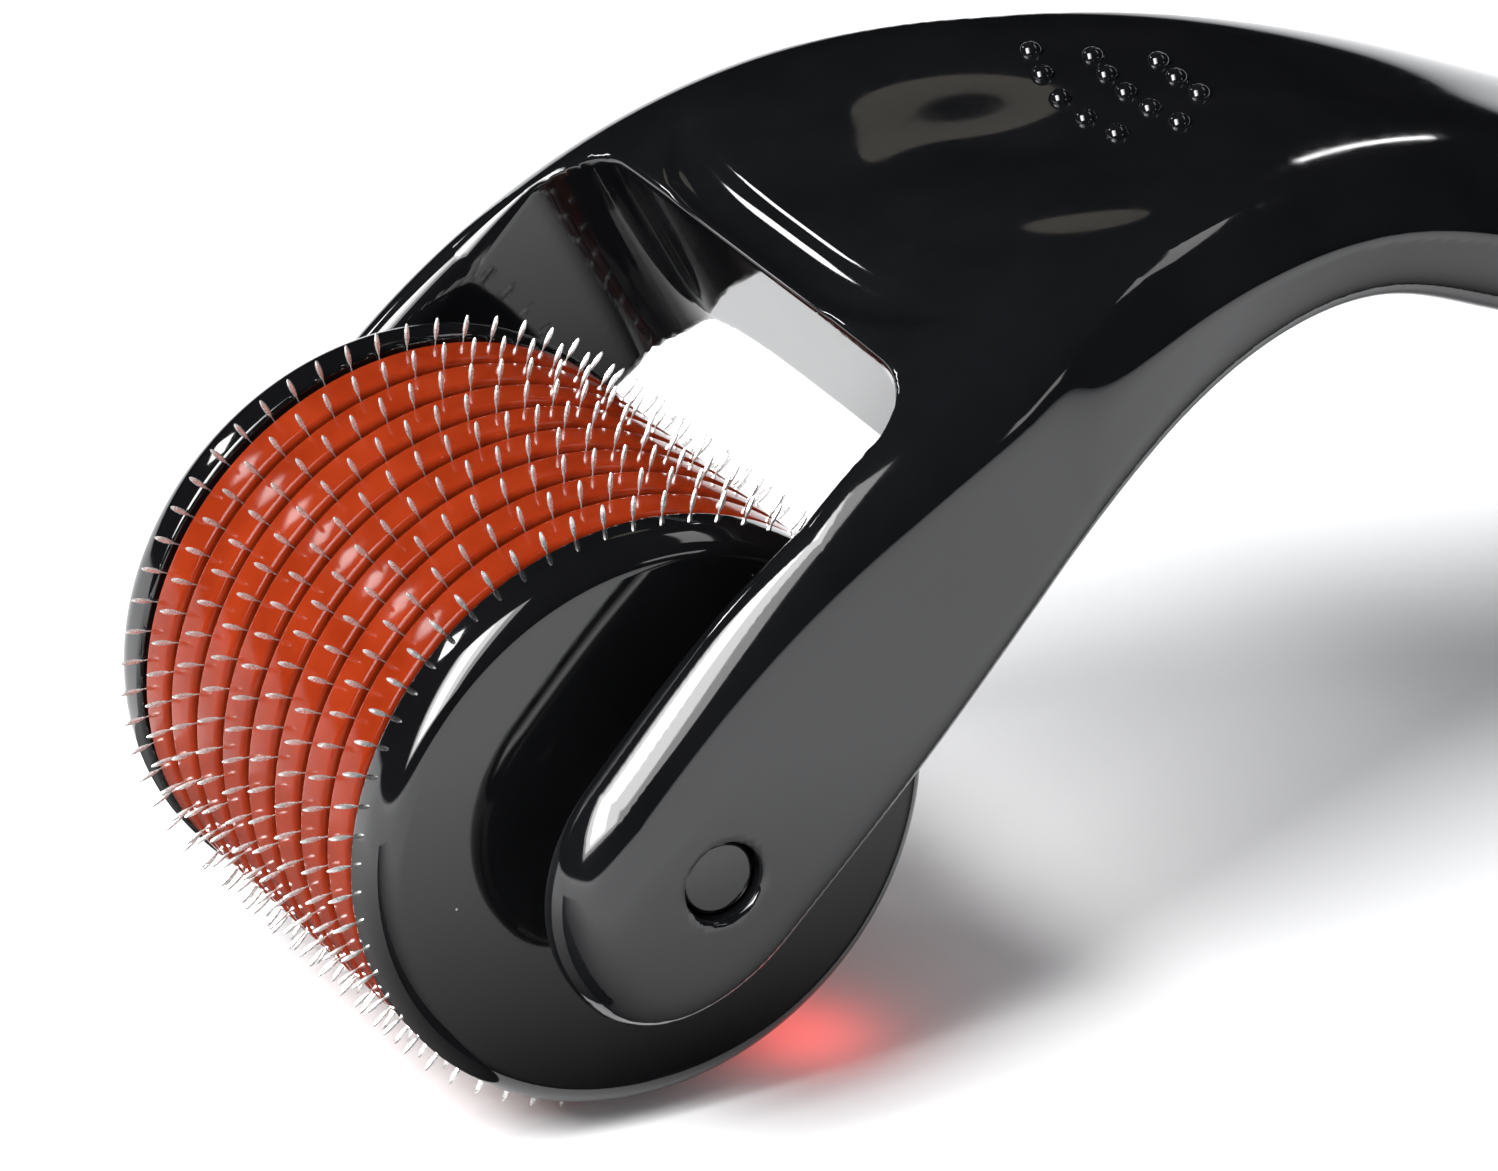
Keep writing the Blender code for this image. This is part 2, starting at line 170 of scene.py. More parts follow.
# Arcs of grip dots: x on the middle line, first dot's y, pitch in y, number of dots.
DOT_ARCS = ((25.9, 5.8, 2.1, 5), (28.45, 4.2, 1.82, 5), (31.05, 2.7, 1.78, 3))
DOT_ARC_BOW = 0.035             # x gained per square millimetre away from the middle
# A dot's half profile: radius, and height over the surface.
DOT_PROFILE = ((0.5, -0.12), (0.49, 0.0), (0.46, 0.12), (0.4, 0.24), (0.3, 0.34), (0.16, 0.4))
DOT_TOP = 0.42
DOT_SIDES = 20
DOT_START_Z = 22.0              # from where the dots drop onto the neck
DOT_DROPS = 12

REMESH_VOXEL = 0.34
RELAX_ROUNDS = 5
RELAX_SHARE = 0.5
SPINE_SAMPLES = 2400
SPINE_SKIP = 8                  # only every eighth sample is tried for the first guess
CHUNK = 20000                   # points looked up at a time, to spare memory
GRADIENT_STEP = 0.05
SLOPE_FLOOR = 0.05              # keeps a step finite where the field is nearly flat
LONGEST_STEP = 0.3
BEND_FLOOR = 0.3                # keeps a step finite inside the centre line's bends
TINY = 1e-9


# ---- the handle as a distance field ----------------------------------------------------------


def natural_spline(knots, values, places):
    """Curve through the values, smooth to its second derivative, read at the places."""
    gaps = np.diff(knots)
    count = len(knots)
    system = np.eye(count)
    right = np.zeros(count)
    for i in range(1, count - 1):
        system[i, i - 1 : i + 2] = gaps[i - 1], 2.0 * (gaps[i - 1] + gaps[i]), gaps[i]
        rise = (values[i + 1] - values[i]) / gaps[i]
        right[i] = 6.0 * (rise - (values[i] - values[i - 1]) / gaps[i - 1])
    bend = np.linalg.solve(system, right)
    i = np.clip(np.searchsorted(knots, places) - 1, 0, count - 2)
    gap = gaps[i]
    after = (places - knots[i]) / gap
    before = 1.0 - after
    curve = before * values[i] + after * values[i + 1]
    curve += gap**2 / 6.0 * ((before**3 - before) * bend[i] + (after**3 - after) * bend[i + 1])
    return curve


def smooth_max(first, second, softness):
    """The larger of two distances, with the edge between them rounded."""
    share = np.maximum(softness - np.abs(first - second), 0.0) / softness
    return np.maximum(first, second) + 0.25 * softness * share**2


class HandleForm:
    """Distance to the handle's surface, below zero inside, for points in mm."""

    def __init__(self):
        line = HANDLE_STATIONS[:, :2]
        steps = np.hypot(*np.diff(line, axis=0).T)
        knots = np.concatenate(([0.0], np.cumsum(steps)))
        self.length = knots[-1]
        self.places = np.linspace(0.0, self.length, SPINE_SAMPLES)
        self.columns = [natural_spline(knots, c, self.places) for c in HANDLE_STATIONS.T]
        dx = np.gradient(self.columns[0], self.places)
        dz = np.gradient(self.columns[1], self.places)
        speed = np.hypot(dx, dz)
        self.tangent = (dx / speed, dz / speed)
        angle = np.unwrap(np.arctan2(dz, dx))
        self.curvature = np.gradient(angle, self.places)

    def read(self, column, place):
        return np.interp(place, self.places, column)

    def nearest(self, x, z):
        """Place along the centre line of the tried sample nearest to each point."""
        xs = self.columns[0][::SPINE_SKIP]
        zs = self.columns[1][::SPINE_SKIP]
        chunks = []
        for start in range(0, len(x), CHUNK):
            part = slice(start, start + CHUNK)
            gap = (x[part, None] - xs) ** 2 + (z[part, None] - zs) ** 2
            chunks.append(np.argmin(gap, axis=1))
        return self.places[::SPINE_SKIP][np.concatenate(chunks)]

    def offset(self, x, z, place):
        """How far each point is from its place, along the centre line and across it."""
        tx = self.read(self.tangent[0], place)
        tz = self.read(self.tangent[1], place)
        ox = x - self.read(self.columns[0], place)
        oz = z - self.read(self.columns[1], place)
        return ox * tx + oz * tz, oz * tx - ox * tz

    def along_and_across(self, x, z, place):
        """Exact nearest place, and the point's offset from the centre line there."""
        for _ in range(3):
            along, across = self.offset(x, z, place)
            bend = 1.0 - across * self.read(self.curvature, place)
            step = along / np.maximum(bend, BEND_FLOOR)
            place = np.clip(place + step, 0.0, self.length)
        return place, *self.offset(x, z, place)

    def body(self, x, y, z, place):
        """Distance to the handle before the gap, the holes and the scoop are cut."""
        place, along, across = self.along_and_across(x, z, place)
        width, height, depth, upper, lower, hollow = [
            self.read(column, place) for column in self.columns[2:]
        ]
        hollow = np.maximum(hollow, 0.0)
        past_end = (place <= 0.0) | (place >= self.length)
        end_radius = np.where(place < 0.5 * self.length, LOBE_RADIUS, TAIL_RADIUS)
        over = np.where(past_end, np.abs(along) / end_radius, 0.0)
        drop = DISH_DEPTH * np.exp(
            -DISH_STEEPNESS
            * (((x - DISH_CENTRE[0]) / DISH_SIZE[0]) ** 2 + (y / DISH_SIZE[1]) ** 2)
        )
        above = across >= 0.0
        reach_y = HOLLOW_REACH * width
        cup = hollow * np.maximum(0.0, 1.0 - (np.abs(y) / reach_y) ** 3)
        cup_slope = np.where(np.abs(y) < reach_y, 3.0 * hollow * y**2 / reach_y**3, 0.0)
        reach = np.where(above, height, depth)
        up = np.where(above, across + drop, cup - across) / reach
        both = np.sqrt(up**2 + over**2) + TINY
        share = 0.5 + 0.5 * np.where(above, up, -up) / both
        power = lower + (upper - lower) * share
        side = np.abs(y) / width + TINY
        level = (side**power + both**power) ** (1.0 / power)
        pull = (both / level) ** (power - 1.0) / both
        slope_n = pull * up / reach
        slope_a = pull * over / end_radius
        slope_y = (side / level) ** (power - 1.0) / width
        slope_y = slope_y - np.where(above, 0.0, slope_n * cup_slope)
        steepness = np.sqrt(slope_n**2 + slope_a**2 + slope_y**2)
        form = (level - 1.0) / np.maximum(steepness, 1e-4)
        lean = np.radians(np.interp(place, CREASE_PLACES, CREASE_LEANS))
        side_wall = (np.abs(y) - width) * np.cos(lean) + (across - CREASE_HEIGHT) * np.sin(lean)
        return smooth_max(form, side_wall, CREASE_EDGE)

    def distance(self, points, place):
        x, y, z = points.T
        form = self.body(x, y, z, place)
        form = smooth_max(form, np.abs(y) - FORK_HALF_WIDTH, SIDE_EDGE)
        window, behind = self.window(x, y, z)
        edge = np.interp(-behind, ARM_EDGE_SPAN, (WINDOW_EDGE, ARM_EDGE))
        form = smooth_max(form, -window, edge)
        form = smooth_max(form, PIN_HOLE_RADIUS - np.hypot(x, z), SMALL_EDGE)
        return smooth_max(form, -self.scoop(x, y, z), SMALL_EDGE)

    def window(self, x, y, z):
        """Distance to the space between the arms, which has round corners against the web, and
        how far each point is behind the web's front (below zero ahead of it)."""
        lean = (math.cos(WINDOW_LEAN), math.sin(WINDOW_LEAN))
        behind = (x - WINDOW_FRONT[0]) * lean[0] + (z - WINDOW_FRONT[1]) * lean[1]
        u = behind + WINDOW_CORNER
        v = np.abs(y) - FORK_INNER_Y + WINDOW_CORNER
        outside = np.hypot(np.maximum(u, 0.0), np.maximum(v, 0.0))
        return outside + np.minimum(np.maximum(u, v), 0.0) - WINDOW_CORNER, behind

    def scoop(self, x, y, z):
        closing = np.maximum(0.0, 1.0 - (y / SCOOP_HALF_LENGTH) ** 4)
        radius = SCOOP_RADIUS * np.sqrt(closing)
        gap = np.hypot(x - SCOOP_CENTRE[0] - SCOOP_BOW * y**4, z - SCOOP_CENTRE[1])
        return gap - radius + np.maximum(np.abs(y) - SCOOP_HALF_LENGTH, 0.0)

    def gradient(self, points, place):
        parts = []
        for axis in range(3):
            step = np.zeros(3)
            step[axis] = GRADIENT_STEP
            rise = self.distance(points + step, place) - self.distance(points - step, place)
            parts.append(rise / (2.0 * GRADIENT_STEP))
        return np.stack(parts, axis=1)

    def project(self, points, rounds):
        """Points moved onto the surface, and the surface's outward directions there."""
        for _ in range(rounds):
            place = self.nearest(points[:, 0], points[:, 2])
            slope = self.gradient(points, place)
            size = np.maximum((slope**2).sum(axis=1), SLOPE_FLOOR)
            step = -(self.distance(points, place) / size)[:, None] * slope
            length = np.linalg.norm(step, axis=1, keepdims=True)
            points = points + step * np.minimum(1.0, LONGEST_STEP / np.maximum(length, TINY))
        place = self.nearest(points[:, 0], points[:, 2])
        slope = self.gradient(points, place)
        return points, slope / np.linalg.norm(slope, axis=1, keepdims=True)


# ---- mesh helpers ----------------------------------------------------------------------------


def new_object(name, mesh, *materials):
    thing = bpy.data.objects.new(name, mesh)
    bpy.context.scene.collection.objects.link(thing)
    for material in materials:
        mesh.materials.append(material)
    return thing


def remeshed(source, voxel):
    """A copy of a closed mesh, made anew of small even quads."""
    copy = bpy.data.objects.new("remesh_source", source.copy())
    bpy.context.scene.collection.objects.link(copy)
    modifier = copy.modifiers.new("remesh", "REMESH")
    modifier.mode = "VOXEL"
    modifier.voxel_size = voxel
    bpy.context.view_layer.update()
    evaluated = copy.evaluated_get(bpy.context.evaluated_depsgraph_get())
    mesh = bpy.data.meshes.new_from_object(evaluated)
    bpy.data.objects.remove(copy, do_unlink=True)
    return mesh


def vertex_array(mesh):
    flat = np.zeros(len(mesh.vertices) * 3, np.float32)
    mesh.vertices.foreach_get("co", flat)
    return flat.reshape(-1, 3).astype(float)


def relaxed(points, edges, share):
    """Points moved part of the way to the middle of their neighbours."""
    count = len(points)
    ends = np.concatenate((edges[:, 0], edges[:, 1]))
    others = np.concatenate((edges[:, 1], edges[:, 0]))
    number = np.bincount(ends, minlength=count)[:, None]
    total = [np.bincount(ends, weights=points[others, i], minlength=count) for i in range(3)]
    return points + share * (np.stack(total, axis=1) / number - points)


def turned_mesh(name, profile, steps=TURN_STEPS):
    """A closed (radius, y) profile, in mm, spun about the drum's axis."""
    shape = bmesh.new()
    rings = []
    for step in range(steps):
        angle = math.tau * step / steps
        ring = []
        for radius, y in profile:
            place = Vector((radius * math.sin(angle), y, radius * math.cos(angle))) * MM
            ring.append(shape.verts.new(place + DRUM_CENTRE))
        rings.append(ring)
    for index, ring in enumerate(rings):
        following = rings[(index + 1) % steps]
        for first in range(len(profile)):
            second = (first + 1) % len(profile)
            shape.faces.new((ring[first], ring[second], following[second], following[first]))
    bmesh.ops.remove_doubles(shape, verts=shape.verts, dist=WELD_DISTANCE)
    bmesh.ops.recalc_face_normals(shape, faces=shape.faces)
    mesh = bpy.data.meshes.new(name)
    shape.to_mesh(mesh)
    shape.free()
    mesh.shade_smooth()
    mesh.set_sharp_from_angle(angle=TURN_SHARP)
    return mesh


def join_rings(shape, rings):
    """Quads between each ring of vertices and the next one."""
    for lower, upper in zip(rings, rings[1:]):
        for step in range(len(lower)):
            after = (step + 1) % len(lower)
            shape.faces.new((lower[step], lower[after], upper[after], upper[step]))


def rounded_corner(radius, y, edge, side, steps=6, length=None):
    """Quarter round at the outer corner (radius, y), from the rim to the face on that side in y.

    The round takes edge off the face's radius, and length, or edge again, off the rim.
    """
    points = []
    for step in range(steps + 1):
        angle = 0.5 * math.pi * step / steps
        points.append((
            radius - edge * (1.0 - math.cos(angle)),
            y - side * (length or edge) * (1.0 - math.sin(angle)),
        ))
    return points


# ---- materials -------------------------------------------------------------------------------


class Nodes:
    """Short calls for building a procedural material."""

    def __init__(self, name):
        self.material = bpy.data.materials.new(name)
        self.material.use_nodes = True
        self.tree = self.material.node_tree
        self.shader = self.tree.nodes["Principled BSDF"]
        self.object_place = self.add("ShaderNodeTexCoord").outputs["Object"]

    def add(self, kind, **settings):
        node = self.tree.nodes.new(kind)
        for key, value in settings.items():
            setattr(node, key, value)
        return node

    def link(self, output, target):
        self.tree.links.new(output, target)

    def set(self, **values):
        for key, value in values.items():
            self.shader.inputs[key.replace("_", " ")].default_value = value

    def noise(self, scale, detail=3.0):
        node = self.add("ShaderNodeTexNoise")
        node.inputs["Scale"].default_value = scale
        node.inputs["Detail"].default_value = detail
        self.link(self.object_place, node.inputs["Vector"])
        return node.outputs["Fac"]

    def ranged(self, value, from_low, from_high, to_low, to_high):
        node = self.add("ShaderNodeMapRange")
        for key, number in (
            ("From Min", from_low),
            ("From Max", from_high),
            ("To Min", to_low),
            ("To Max", to_high),
        ):
            node.inputs[key].default_value = number
        self.link(value, node.inputs["Value"])
        return node.outputs["Result"]

    def mixed(self, factor, first, second):
        node = self.add("ShaderNodeMix", data_type="RGBA")
        self.link(factor, node.inputs["Factor"])
        for socket, colour in ((node.inputs[6], first), (node.inputs[7], second)):
            if isinstance(colour, tuple):
                socket.default_value = (*colour, 1.0)
            else:
                self.link(colour, socket)
        return node.outputs[2]

    def math(self, operation, first, second):
        node = self.add("ShaderNodeMath", operation=operation)
        for socket, value in zip(node.inputs, (first, second)):
            if isinstance(value, (int, float)):
                socket.default_value = value
            else:
                self.link(value, socket)
        return node.outputs[0]

    def specks(self, spacing, size, share):
        """1 in small round spots and 0 elsewhere; a share of the cells has a spot, and size is
        its radius in cells."""
        cells = self.add("ShaderNodeTexVoronoi")
        cells.inputs["Scale"].default_value = 1.0 / spacing
        self.link(self.object_place, cells.inputs["Vector"])
        near = self.ranged(cells.outputs["Distance"], size, 0.5 * size, 0.0, 1.0)
        split = self.add("ShaderNodeSeparateColor")
        self.link(cells.outputs["Color"], split.inputs[0])
        chosen = self.math("GREATER_THAN", split.outputs[0], 1.0 - share)
        return self.math("MULTIPLY", near, chosen)

    def bump(self, height, strength, distance):
        node = self.add("ShaderNodeBump")
        node.inputs["Strength"].default_value = strength
        node.inputs["Distance"].default_value = distance
        self.link(height, node.inputs["Height"])
        self.link(node.outputs["Normal"], self.shader.inputs["Normal"])


def black_gloss(name, dark, light, speck_share=0.05):
    """Polished black plastic, with faint mottling, hairline haze and a little dust."""
    nodes = Nodes(name)
    mottle = nodes.noise(260.0, detail=4.0)
    colour = nodes.mixed(nodes.ranged(mottle, 0.3, 0.7, 0.0, 1.0), dark, light)
    dust = nodes.specks(0.0019, 0.035, speck_share)
    colour = nodes.mixed(dust, colour, (0.32, 0.33, 0.35))
    nodes.link(colour, nodes.shader.inputs["Base Color"])
    haze = nodes.ranged(nodes.noise(1400.0, detail=5.0), 0.35, 0.75, 0.045, 0.085)
    rough = nodes.math("MAXIMUM", haze, nodes.math("MULTIPLY", dust, 0.6))
    nodes.link(rough, nodes.shader.inputs["Roughness"])
    nodes.bump(nodes.noise(180.0, detail=1.0), 0.05, 0.0002)
    nodes.set(IOR=1.6)
    return nodes.material


def red_translucent():
    """Clear orange-red plastic: light scatters a little way in, under a polished rim."""
    nodes = Nodes("spacer_red")
    cloud = nodes.ranged(nodes.noise(420.0, detail=3.0), 0.3, 0.7, 0.0, 1.0)
    colour = nodes.mixed(cloud, (0.17, 0.015, 0.003), (0.22, 0.022, 0.005))
    nodes.link(colour, nodes.shader.inputs["Base Color"])
    rough = nodes.ranged(nodes.noise(1600.0, detail=4.0), 0.3, 0.7, 0.09, 0.14)
    nodes.link(rough, nodes.shader.inputs["Roughness"])
    nodes.bump(nodes.noise(900.0, detail=2.0), 0.05, 0.0001)
    nodes.set(
        Subsurface_Weight=0.35,
        Subsurface_Radius=(1.0, 0.22, 0.06),
        Subsurface_Scale=0.0012,
        IOR=1.5,
        Specular_IOR_Level=0.12,
    )
    return nodes.material


def etched_steel(name, light, dark):
    """Etched steel with fine streaks and small darker stains."""
    nodes = Nodes(name)
    stain = nodes.ranged(nodes.noise(2600.0, detail=3.0), 0.35, 0.7, 0.0, 1.0)
    colour = nodes.mixed(stain, light, dark)
    nodes.link(colour, nodes.shader.inputs["Base Color"])
    rough = nodes.ranged(nodes.noise(5200.0, detail=2.0), 0.3, 0.7, 0.2, 0.36)
    nodes.link(rough, nodes.shader.inputs["Roughness"])
    nodes.set(Metallic=0.7)
    return nodes.material


def moulded_black():
    """Plain black plastic as it leaves the mould, slightly grained."""
    nodes = Nodes("core_black")
    grain = nodes.noise(3000.0, detail=3.0)
    colour = nodes.mixed(grain, (0.014, 0.014, 0.015), (0.03, 0.03, 0.032))
    nodes.link(colour, nodes.shader.inputs["Base Color"])
    nodes.link(nodes.ranged(grain, 0.3, 0.7, 0.42, 0.6), nodes.shader.inputs["Roughness"])
    nodes.bump(grain, 0.3, 0.00005)
    return nodes.material


def floor_white():
    nodes = Nodes("floor_white")
    soft = nodes.ranged(nodes.noise(6.0, detail=2.0), 0.3, 0.7, 0.0, 1.0)
    colour = nodes.mixed(soft, (0.86, 0.86, 0.865), (0.88, 0.88, 0.885))
    nodes.link(colour, nodes.shader.inputs["Base Color"])
    nodes.set(Roughness=0.85, Specular_IOR_Level=0.1)
    return nodes.material


# ---- pieces ----------------------------------------------------------------------------------


def make_handle(form, material):
    """The handle's fine surface: the CAD solid made of small quads, set onto the form."""
    mesh = remeshed(frame["nodes"]["handle"].data, REMESH_VOXEL * MM)
    centre = np.array(DRUM_CENTRE)
    points = (vertex_array(mesh) - centre) / MM
    edges = np.zeros(len(mesh.edges) * 2, np.int32)
    mesh.edges.foreach_get("vertices", edges)
    edges = edges.reshape(-1, 2)
    points, _ = form.project(points, 2)
    for _ in range(RELAX_ROUNDS):
        points = relaxed(points, edges, RELAX_SHARE)
        points, _ = form.project(points, 1)
    points, normals = form.project(points, 1)
    mesh.vertices.foreach_set("co", (points * MM + centre).astype(np.float32).ravel())
    mesh.update()
    mesh.shade_smooth()
    mesh.normals_split_custom_set_from_vertices(normals.tolist())
    mesh.name = "handle_shell"
    mesh.materials.clear()
    handle = new_object("handle_shell", mesh, material)
    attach(handle, "handle")
    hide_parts("handle")


def dot_places():
    """(x, y) of the grip dots, in mm from the drum's axis."""
    places = []
    for first_x, first_y, pitch, count in DOT_ARCS:
        for step in range(count):
            y = first_y - pitch * step
            places.append((first_x + DOT_ARC_BOW * y**2, y))
    return places


def make_dots(form, material):
    """Small domes on the neck, each one standing square on the surface."""
    shape = bmesh.new()
    places = np.array(dot_places())
    points = np.column_stack((places, np.full(len(places), DOT_START_Z)))
    for _ in range(DOT_DROPS):
        near = form.nearest(points[:, 0], points[:, 2])
        points[:, 2] -= form.distance(points, near)
    near = form.nearest(points[:, 0], points[:, 2])
    normals = form.gradient(points, near)
    for point, normal in zip(points, normals):
        turn = Vector(normal).to_track_quat("Z", "Y")
        base = Vector(point)
        rings = []
        for radius, height in DOT_PROFILE:
            ring = []
            for step in range(DOT_SIDES):
                angle = math.tau * step / DOT_SIDES
                local = Vector((radius * math.cos(angle), radius * math.sin(angle), height))
                ring.append(shape.verts.new((base + turn @ local) * MM + DRUM_CENTRE))
            rings.append(ring)
        top = shape.verts.new((base + turn @ Vector((0.0, 0.0, DOT_TOP))) * MM + DRUM_CENTRE)
        join_rings(shape, rings)
        for step in range(DOT_SIDES):
            after = (step + 1) % DOT_SIDES
            shape.faces.new((rings[-1][step], rings[-1][after], top))
        shape.faces.new(list(reversed(rings[0])))
    mesh = bpy.data.meshes.new("grip_dots")
    shape.to_mesh(mesh)
    shape.free()
    mesh.shade_smooth()
    dots = new_object("grip_dots", mesh, material)
    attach(dots, "handle")


def needle_row_mesh(name, y_middle, turn):
    """A steel ring with its needles: flat leaf-shaped blades that stand out of the rim."""
    half = 0.5 * DISC_THICKNESS
    profile = [
        (BORE_RADIUS, y_middle - half),
        (DISC_RIM, y_middle - half),
        (DISC_RIM, y_middle + half),
        (BORE_RADIUS, y_middle + half),
    ]
    mesh = turned_mesh(name, profile, DISC_STEPS)
    shape = bmesh.new()
    shape.from_mesh(mesh)
    ring_faces = len(shape.faces)
    for number in range(NEEDLES_PER_ROW):
        angle = turn + math.tau * number / NEEDLES_PER_ROW
        out = Vector((math.cos(angle), 0.0, math.sin(angle)))
        beside = Vector((-math.sin(angle), 0.0, math.cos(angle)))
        rings = []
        for radius, half_width in NEEDLE_SECTIONS:
            thick = min(NEEDLE_HALF_THICKNESS, NEEDLE_FLATNESS * half_width)
            ring = []
            for across, through in NEEDLE_OUTLINE:
                place = out * radius + beside * (across * half_width)
                place.y += y_middle + through * thick
                ring.append(shape.verts.new(place * MM + DRUM_CENTRE))
            rings.append(ring)
        join_rings(shape, rings)
        shape.faces.new(list(reversed(rings[0])))
        shape.faces.new(rings[-1])
    shape.faces.ensure_lookup_table()
    for face in shape.faces[ring_faces:]:
        face.material_index = 1
    bmesh.ops.recalc_face_normals(shape, faces=shape.faces)
    shape.to_mesh(mesh)
    shape.free()
    mesh.shade_smooth()
    mesh.set_sharp_from_angle(angle=NEEDLE_SHARP)
    return mesh


def make_needle_rows(ring_material, needle_material):
    for index in range(ROW_COUNT):
        name = f"needle_disc_{index + 1}"
        y_middle = (0.5 * (ROW_COUNT - 1) - index) * ROW_PITCH
        mesh = needle_row_mesh(name, y_middle, math.radians(DISC_TURNS[index]))
        row = new_object(f"needle_row_{index + 1}", mesh, ring_material, needle_material)
        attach(row, "drum")
        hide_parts(name)


def make_spacers(material):
    half = 0.5 * SPACER_THICKNESS
    for index in range(ROW_COUNT - 1):
        middle = (0.5 * (ROW_COUNT - 2) - index) * ROW_PITCH
        low = rounded_corner(SPACER_RADIUS, middle - half, SPACER_EDGE, -1.0)
        high = rounded_corner(SPACER_RADIUS, middle + half, SPACER_EDGE, 1.0)
        profile = [(BORE_RADIUS, middle - half)] + list(reversed(low)) + high
        profile.append((BORE_RADIUS, middle + half))
        mesh = turned_mesh(f"spacer_{index + 1}", profile)
        spacer = new_object(f"spacer_{index + 1}", mesh, material)
        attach(spacer, "drum")
        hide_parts(f"spacer_disc_{index + 1}")


def make_caps(material):
    """The drum's end caps: a flange with a hub and a pin outside, and a plug inside."""
    for name, side in (("left_end_cap", -1.0), ("right_end_cap", 1.0)):
        profile = [(0.0, side * PLUG_END_Y)]
        profile.append((PLUG_RADIUS, side * PLUG_END_Y))
        profile.append((PLUG_RADIUS, side * CAP_INNER_Y))
        inner = rounded_corner(CAP_RADIUS, side * CAP_INNER_Y, CAP_INNER_EDGE, -side)
        profile += list(reversed(inner))
        face_y = side * CAP_FACE_Y
        profile += rounded_corner(
            CAP_RADIUS, face_y, CAP_EDGE, side, CAP_EDGE_STEPS, CAP_EDGE_LENGTH
        )
        profile.append((HUB_RADIUS + HUB_FILLET, face_y))
        profile.append((HUB_RADIUS, side * (CAP_FACE_Y + HUB_FILLET)))
        profile += rounded_corner(HUB_RADIUS, side * HUB_END_Y, HUB_EDGE, side)
        profile.append((PIN_RADIUS, side * HUB_END_Y))
        profile += rounded_corner(PIN_RADIUS, side * PIN_END_Y, PIN_EDGE, side)
        profile.append((0.0, side * PIN_END_Y))
        mesh = turned_mesh(f"{name}_shell", profile)
        cap = new_object(f"{name}_shell", mesh, material)
        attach(cap, "drum")
        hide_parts(name)


# ---- studio ----------------------------------------------------------------------------------

CAMERA_AZIMUTH = math.radians(-29.335)
CAMERA_ELEVATION = math.radians(26.891)
CAMERA_DISTANCE = 0.434139      # metres, as all lengths of the studio are
CAMERA_RIGHT = 0.009257         # how far the camera is moved off the drum's centre
CAMERA_UP = 0.004938
CAMERA_LENS = 259.26
SENSOR_WIDTH = 36.0
FLOOR_SIZE = 8.0

# Black cards that paint shade into the object's polished surfaces: name, x and y from the drum in
# mm, height over the floor in mm, size in mm, and the turn in degrees that sets which side is
# darkest.
PAINTED_SHADE_CARDS = (
    ("dark_card_front", (45.0, -30.5), 0.2, (240.0, 33.0), 0.0),
    ("dark_card_left", (-30.0, 3.0), 0.3, (45.0, 46.0), -90.0),
)
# Black of the painted shade that the cards put into the object's reflections.
PAINTED_SHADE_BLACK = (0.004, 0.004, 0.004, 1.0)
PAINTED_SHADE_FADE = 1.2                 # power of the painted shade's fade from clear to black

WHITE = (1.0, 1.0, 1.0)
WARM = (1.0, 0.93, 0.8)
UPRIGHT = (0.0, 0.0, 1.0)
# The tall window beside the object: three strips, one in front of the other, because a lamp
# hides the ones behind it.  Name, direction, distance, size and radiance.
WINDOW_AXIS = (0.21, 0.63, 0.55)
WINDOW_STRIPS = (
    ("window_wide", (-0.69, -0.27, 0.67), 0.90, (0.62, 1.00), 4.5),
    ("window_middle", (-0.71, -0.23, 0.66), 0.89, (0.44, 0.92), 8.0),
    ("window_core", (-0.73, -0.20, 0.65), 0.88, (0.2, 0.84), 14.0),
)
GLOW_PLACE = (8.6, -8.2, -10.6)  # from the drum's centre, in mm
GLOW_SIZE = (0.004, 0.005)
GLOW_ENERGY = 0.00012
GLOW_COLOUR = (1.0, 0.06, 0.04)
SKY_COLOUR = (0.9, 0.92, 0.95, 1.0)
SKY_STRENGTH = 0.5


def make_camera():
    azimuth, elevation = CAMERA_AZIMUTH, CAMERA_ELEVATION
    back = Vector((
        math.sin(azimuth) * math.cos(elevation),
        -math.cos(azimuth) * math.cos(elevation),
        math.sin(elevation),
    ))
    right = Vector((math.cos(azimuth), math.sin(azimuth), 0.0))
    up = back.cross(right)
    data = bpy.data.cameras.new("camera")
    data.lens = CAMERA_LENS
    data.sensor_width = SENSOR_WIDTH
    data.clip_start = 0.01
    data.clip_end = 50.0
    camera = bpy.data.objects.new("camera", data)
    bpy.context.scene.collection.objects.link(camera)
    turn = Matrix((right, up, back)).transposed().to_4x4()
    place = DRUM_CENTRE + back * CAMERA_DISTANCE + right * CAMERA_RIGHT + up * CAMERA_UP
    camera.matrix_world = Matrix.Translation(place) @ turn
    bpy.context.scene.camera = camera


def make_floor():
    shape = bmesh.new()
    bmesh.ops.create_grid(shape, x_segments=2, y_segments=2, size=0.5 * FLOOR_SIZE)
    mesh = bpy.data.meshes.new("floor")
    shape.to_mesh(mesh)
    shape.free()
    floor = new_object("floor", mesh, floor_white())
    floor.location.z = cad_low.z


def add_painted_shade_card(name, centre, height, size, turn, material):
    """A black card just over the floor, which only shows in the object's polished surfaces, as
    painted shade in their reflections.
    """
    shape = bmesh.new()
    bmesh.ops.create_grid(shape, x_segments=1, y_segments=1, size=0.5)
    mesh = bpy.data.meshes.new(name)
    shape.to_mesh(mesh)
    shape.free()
    card = new_object(name, mesh, material)
    card.scale = (size[0] * MM, size[1] * MM, 1.0)
    card.rotation_euler.z = math.radians(turn)
    card.location = DRUM_CENTRE + Vector((*centre, 0.0)) * MM
    card.location.z = cad_low.z + height * MM
    card.visible_camera = False
    card.visible_diffuse = False
    card.visible_shadow = False
    card.visible_transmission = False


